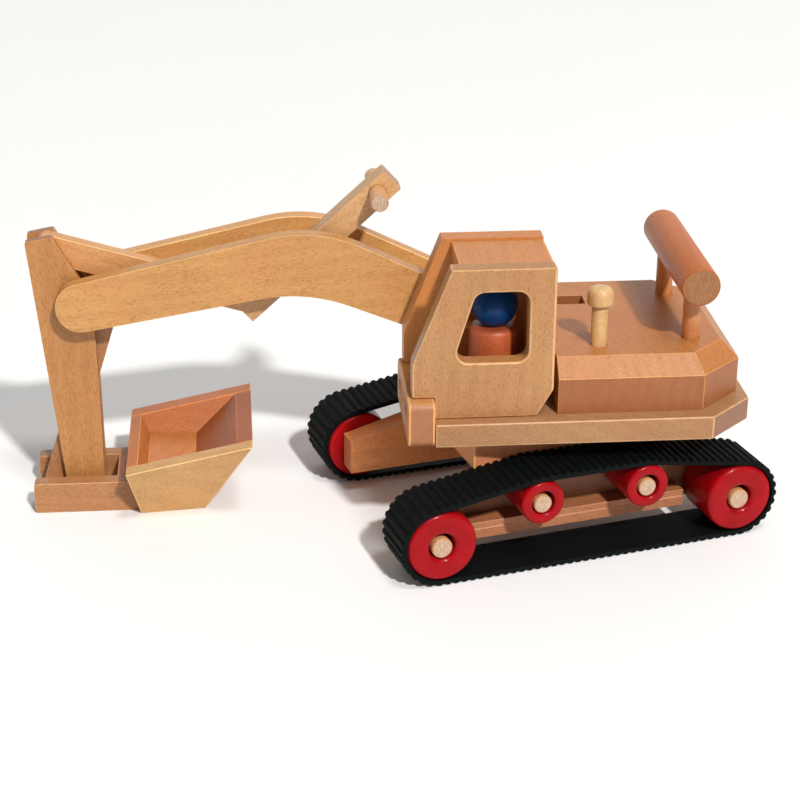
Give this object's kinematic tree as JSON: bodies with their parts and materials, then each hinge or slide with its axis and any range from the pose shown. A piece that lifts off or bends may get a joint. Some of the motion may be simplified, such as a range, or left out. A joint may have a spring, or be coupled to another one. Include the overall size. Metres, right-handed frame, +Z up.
{
  "type": "toy excavator",
  "caption": "Wooden toy tracked excavator with a swinging upper body, a lever-worked arm with a hopper bucket, a peg driver, a rear handle and rubber track belts.",
  "frame": {"origin": "middle of the machine's bounding box in plan, on the ground it stands on", "axes": "+X toward the machine's rear, so the boom points to -X; +Y toward the machine's right side, away from the cab; +Z up"},
  "size_m": [0.5282, 0.2788, 0.246],
  "materials": {
    "beech": "satin oiled beech",
    "dowel_wood": "satin turned beech, end grain showing",
    "red_lacquer": "glossy red lacquer on turned wood",
    "blue_lacquer": "glossy dark blue lacquer on a wooden ball",
    "black_rubber": "matte ribbed black rubber"
  },
  "bodies": {
    "undercarriage": {"beam_far": "beech", "beam_near": "beech", "guide_rail_far": "beech", "guide_rail_near": "beech", "undercarriage_plate": "beech", "turntable_hub": "beech", "wheel_axle_near_front": "dowel_wood", "wheel_axle_near_rear": "dowel_wood", "wheel_axle_far_front": "dowel_wood", "wheel_axle_far_rear": "dowel_wood", "roller_axle_front": "dowel_wood", "roller_axle_rear": "dowel_wood", "track_belt_far": "black_rubber", "track_belt_near": "black_rubber"},
    "house": {"base_board": "beech", "deck_block": "beech", "cab_side_near": "beech", "cab_side_far": "beech", "cab_roof": "beech", "cab_back": "beech", "front_board": "beech", "handle_bar": "beech", "handle_post_near": "dowel_wood", "handle_post_far": "dowel_wood", "mast_board": "beech", "boom_pivot_dowel": "dowel_wood"},
    "peg": {"lock_peg": "dowel_wood"},
    "driver": {"driver_body": "beech", "driver_head": "blue_lacquer"},
    "boom": {"boom_plate_near": "beech", "boom_plate_far": "beech", "stick_dowel": "dowel_wood", "link_dowel": "dowel_wood", "lever_dowel": "dowel_wood"},
    "lever": {"lever_bar": "beech", "lever_grip": "dowel_wood", "rod_dowel": "dowel_wood"},
    "stick": {"stick_board_near": "beech", "stick_board_far": "beech", "stick_top_dowel": "dowel_wood"},
    "rod": {"connecting_rod": "beech"},
    "bucket": {"bucket_strip_near": "beech", "bucket_strip_far": "beech", "bucket_cross_block": "beech", "bucket_dowel": "dowel_wood", "link_foot_dowel": "dowel_wood", "bucket_side_near": "beech", "bucket_side_far": "beech", "bucket_back": "beech", "bucket_front": "beech", "bucket_floor": "beech"},
    "link": {"bucket_link": "beech"},
    "wheel_near_front_body": {"wheel_near_front": "red_lacquer"},
    "roller_near_front_body": {"roller_near_front": "red_lacquer"},
    "wheel_near_rear_body": {"wheel_near_rear": "red_lacquer"},
    "roller_near_rear_body": {"roller_near_rear": "red_lacquer"},
    "wheel_far_front_body": {"wheel_far_front": "red_lacquer"},
    "roller_far_front_body": {"roller_far_front": "red_lacquer"},
    "wheel_far_rear_body": {"wheel_far_rear": "red_lacquer"},
    "roller_far_rear_body": {"roller_far_rear": "red_lacquer"}
  },
  "joints": [
    {"name": "house_swing", "type": "hinge", "parent": "undercarriage", "child": "house", "pos_m": [0.10031, 0, 0.0868], "axis": [0, 0, 1], "continuous": true},
    {"name": "boom_lift", "type": "hinge", "parent": "house", "child": "boom", "pos_m": [0.05931, 0.029, 0.1343], "axis": [0, 1, 0], "range_deg": [0, 38]},
    {"name": "lever_tilt", "type": "hinge", "parent": "boom", "child": "lever", "pos_m": [-0.06789, 0.029, 0.1801], "axis": [0, -1, 0], "range_deg": [-13.5, 13.5]},
    {"name": "stick_swing", "type": "hinge", "parent": "boom", "child": "stick", "pos_m": [-0.22869, 0.029, 0.1563], "axis": [0, -1, 0], "range_deg": [-16.18, 16.18]},
    {"name": "rod_turn", "type": "hinge", "parent": "stick", "child": "rod", "pos_m": [-0.24469, 0.029, 0.1938], "axis": [0, -1, 0], "range_deg": [-11.43, 11.43]},
    {"name": "bucket_tilt", "type": "hinge", "parent": "stick", "child": "bucket", "pos_m": [-0.22869, 0.029, 0.0113], "axis": [0, -1, 0], "range_deg": [-18.51, 18.51]},
    {"name": "link_turn", "type": "hinge", "parent": "bucket", "child": "link", "pos_m": [-0.25059, 0.029, 0.0113], "axis": [0, -1, 0], "range_deg": [-18.02, 18.02]},
    {"name": "peg_lift", "type": "slide", "parent": "house", "child": "peg", "axis": [0, 0, 1], "range_m": [0, 0.05]},
    {"name": "driver_lift", "type": "slide", "parent": "house", "child": "driver", "axis": [0, 0, 1], "range_m": [0, 0.008]},
    {"name": "wheel_near_front_spin", "type": "hinge", "parent": "undercarriage", "child": "wheel_near_front_body", "pos_m": [0.01416, -0.11196, 0.0292], "axis": [-0.2566, 0.9665, 0], "continuous": true},
    {"name": "roller_near_front_spin", "type": "hinge", "parent": "undercarriage", "child": "roller_near_front_body", "pos_m": [0.08452, -0.09328, 0.0503], "axis": [-0.2566, 0.9665, 0], "continuous": true},
    {"name": "wheel_near_rear_spin", "type": "hinge", "parent": "undercarriage", "child": "wheel_near_rear_body", "pos_m": [0.23065, -0.05447, 0.0292], "axis": [-0.2566, 0.9665, 0], "continuous": true},
    {"name": "roller_near_rear_spin", "type": "hinge", "parent": "undercarriage", "child": "roller_near_rear_body", "pos_m": [0.16029, -0.07316, 0.0503], "axis": [-0.2566, 0.9665, 0], "continuous": true},
    {"name": "wheel_far_front_spin", "type": "hinge", "parent": "undercarriage", "child": "wheel_far_front_body", "pos_m": [-0.03003, 0.05447, 0.0292], "axis": [-0.2566, 0.9665, 0], "continuous": true},
    {"name": "roller_far_front_spin", "type": "hinge", "parent": "undercarriage", "child": "roller_far_front_body", "pos_m": [0.04033, 0.07316, 0.0503], "axis": [-0.2566, 0.9665, 0], "continuous": true},
    {"name": "wheel_far_rear_spin", "type": "hinge", "parent": "undercarriage", "child": "wheel_far_rear_body", "pos_m": [0.18646, 0.11196, 0.0292], "axis": [-0.2566, 0.9665, 0], "continuous": true},
    {"name": "roller_far_rear_spin", "type": "hinge", "parent": "undercarriage", "child": "roller_far_rear_body", "pos_m": [0.1161, 0.09328, 0.0503], "axis": [-0.2566, 0.9665, 0], "continuous": true}
  ],
  "couplings": [
    {"joint": "stick_swing", "follows": "lever_tilt", "ratio": -1.1836},
    {"joint": "rod_turn", "follows": "lever_tilt", "ratio": 0.8322},
    {"joint": "bucket_tilt", "follows": "lever_tilt", "ratio": -1.3564},
    {"joint": "link_turn", "follows": "lever_tilt", "ratio": 1.3198},
    {"joint": "wheel_near_rear_spin", "follows": "wheel_near_front_spin", "ratio": 1},
    {"joint": "wheel_far_rear_spin", "follows": "wheel_far_front_spin", "ratio": 1}
  ]
}
